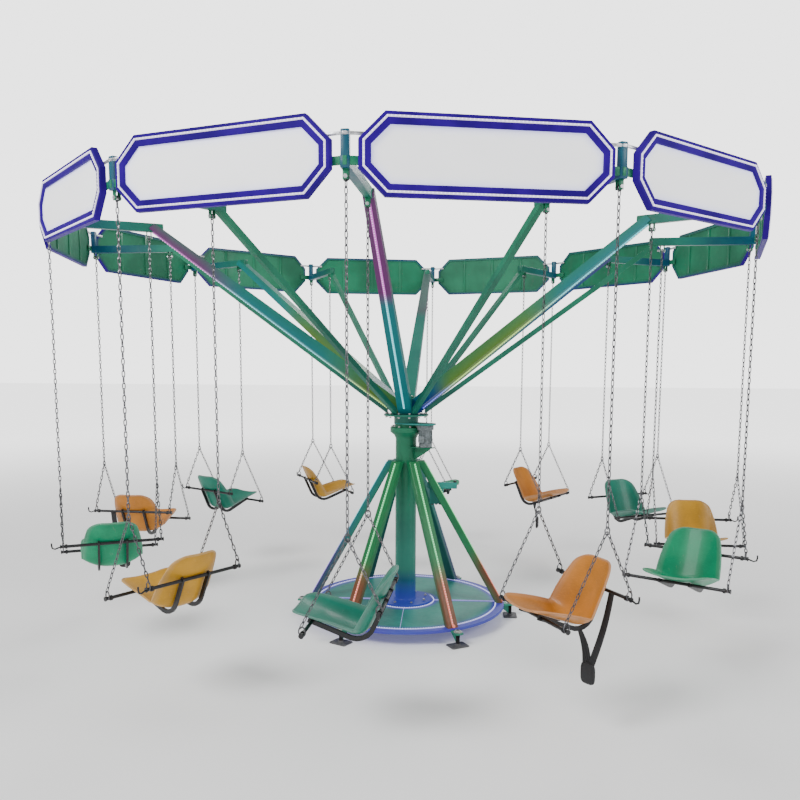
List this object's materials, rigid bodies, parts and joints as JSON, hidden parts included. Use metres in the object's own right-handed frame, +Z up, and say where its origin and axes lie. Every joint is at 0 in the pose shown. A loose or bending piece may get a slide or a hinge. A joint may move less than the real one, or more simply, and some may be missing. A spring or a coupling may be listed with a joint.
{
  "type": "chair swing ride",
  "caption": "Small chair swing ride: a turning top on a propped column carries bucket seats on chains inside a ring of octagonal light panels.",
  "frame": {"origin": "on the ground under the middle of the column", "axes": "+Z up along the turning axis; -Y is the front, where the first main arm and seat_1 are"},
  "size_m": [4.5576, 4.5576, 2.766],
  "materials": {
    "green_paint": "satin green paint with coloured light on it",
    "teal_paint": "satin teal paint",
    "motor_grey": "semi-matt grey",
    "panel_white": "matt white board in a dark blue border",
    "shell_dark_green": "glossy moulded shell",
    "shell_orange": "glossy moulded shell",
    "shell_green": "glossy moulded shell",
    "shell_ochre": "glossy moulded shell",
    "chain_steel": "dull zinc-plated chain and black steel frame"
  },
  "bodies": {
    "base": {"base_plate": "green_paint", "column": "green_paint", "leg_1": "green_paint", "leg_2": "green_paint", "leg_3": "green_paint", "leg_4": "green_paint", "leg_5": "green_paint", "leg_6": "green_paint", "drive_plate": "teal_paint", "drive_motor": "motor_grey", "control_box": "teal_paint"},
    "turning_top": {"hub": "green_paint", "main_arm_1": "green_paint", "main_arm_2": "green_paint", "main_arm_3": "green_paint", "main_arm_4": "green_paint", "main_arm_5": "green_paint", "main_arm_6": "green_paint", "mid_bar_1": "green_paint", "mid_bar_2": "green_paint", "mid_bar_3": "green_paint", "mid_bar_4": "green_paint", "mid_bar_5": "green_paint", "mid_bar_6": "green_paint", "light_panel_1": "panel_white", "light_panel_2": "panel_white", "light_panel_3": "panel_white", "light_panel_4": "panel_white", "light_panel_5": "panel_white", "light_panel_6": "panel_white", "light_panel_7": "panel_white", "light_panel_8": "panel_white", "light_panel_9": "panel_white", "light_panel_10": "panel_white", "light_panel_11": "panel_white", "light_panel_12": "panel_white"},
    "seat_1": {"seat_shell_1": "shell_dark_green", "seat_hanger_1": "chain_steel"},
    "seat_2": {"seat_shell_2": "shell_orange", "seat_hanger_2": "chain_steel"},
    "seat_3": {"seat_shell_3": "shell_green", "seat_hanger_3": "chain_steel"},
    "seat_4": {"seat_shell_4": "shell_ochre", "seat_hanger_4": "chain_steel"},
    "seat_5": {"seat_shell_5": "shell_dark_green", "seat_hanger_5": "chain_steel"},
    "seat_6": {"seat_shell_6": "shell_orange", "seat_hanger_6": "chain_steel"},
    "seat_7": {"seat_shell_7": "shell_green", "seat_hanger_7": "chain_steel"},
    "seat_8": {"seat_shell_8": "shell_ochre", "seat_hanger_8": "chain_steel"},
    "seat_9": {"seat_shell_9": "shell_dark_green", "seat_hanger_9": "chain_steel"},
    "seat_10": {"seat_shell_10": "shell_orange", "seat_hanger_10": "chain_steel"},
    "seat_11": {"seat_shell_11": "shell_green", "seat_hanger_11": "chain_steel"},
    "seat_12": {"seat_shell_12": "shell_ochre", "seat_hanger_12": "chain_steel"}
  },
  "joints": [
    {"name": "top_spin", "type": "hinge", "parent": "base", "child": "turning_top", "pos_m": [0, 0, 1.36], "axis": [0, 0, 1], "continuous": true},
    {"name": "seat_1_swing", "type": "hinge", "parent": "turning_top", "child": "seat_1", "pos_m": [0, -1.958, 2.52], "axis": [0, 1, 0], "range_deg": [-12, 12]},
    {"name": "seat_2_swing", "type": "hinge", "parent": "turning_top", "child": "seat_2", "pos_m": [0.979, -1.69568, 2.52], "axis": [-0.5, 0.866, 0], "range_deg": [-12, 12]},
    {"name": "seat_3_swing", "type": "hinge", "parent": "turning_top", "child": "seat_3", "pos_m": [1.69568, -0.979, 2.52], "axis": [-0.866, 0.5, 0], "range_deg": [-12, 12]},
    {"name": "seat_4_swing", "type": "hinge", "parent": "turning_top", "child": "seat_4", "pos_m": [1.958, 0, 2.52], "axis": [-1, 0, 0], "range_deg": [-12, 12]},
    {"name": "seat_5_swing", "type": "hinge", "parent": "turning_top", "child": "seat_5", "pos_m": [1.69568, 0.979, 2.52], "axis": [-0.866, -0.5, 0], "range_deg": [-12, 12]},
    {"name": "seat_6_swing", "type": "hinge", "parent": "turning_top", "child": "seat_6", "pos_m": [0.979, 1.69568, 2.52], "axis": [-0.5, -0.866, 0], "range_deg": [-12, 12]},
    {"name": "seat_7_swing", "type": "hinge", "parent": "turning_top", "child": "seat_7", "pos_m": [0, 1.958, 2.52], "axis": [0, -1, 0], "range_deg": [-12, 12]},
    {"name": "seat_8_swing", "type": "hinge", "parent": "turning_top", "child": "seat_8", "pos_m": [-0.979, 1.69568, 2.52], "axis": [0.5, -0.866, 0], "range_deg": [-12, 12]},
    {"name": "seat_9_swing", "type": "hinge", "parent": "turning_top", "child": "seat_9", "pos_m": [-1.69568, 0.979, 2.52], "axis": [0.866, -0.5, 0], "range_deg": [-12, 12]},
    {"name": "seat_10_swing", "type": "hinge", "parent": "turning_top", "child": "seat_10", "pos_m": [-1.958, 0, 2.52], "axis": [1, 0, 0], "range_deg": [-12, 12]},
    {"name": "seat_11_swing", "type": "hinge", "parent": "turning_top", "child": "seat_11", "pos_m": [-1.69568, -0.979, 2.52], "axis": [0.866, 0.5, 0], "range_deg": [-12, 12]},
    {"name": "seat_12_swing", "type": "hinge", "parent": "turning_top", "child": "seat_12", "pos_m": [-0.979, -1.69568, 2.52], "axis": [0.5, 0.866, 0], "range_deg": [-12, 12]}
  ]
}
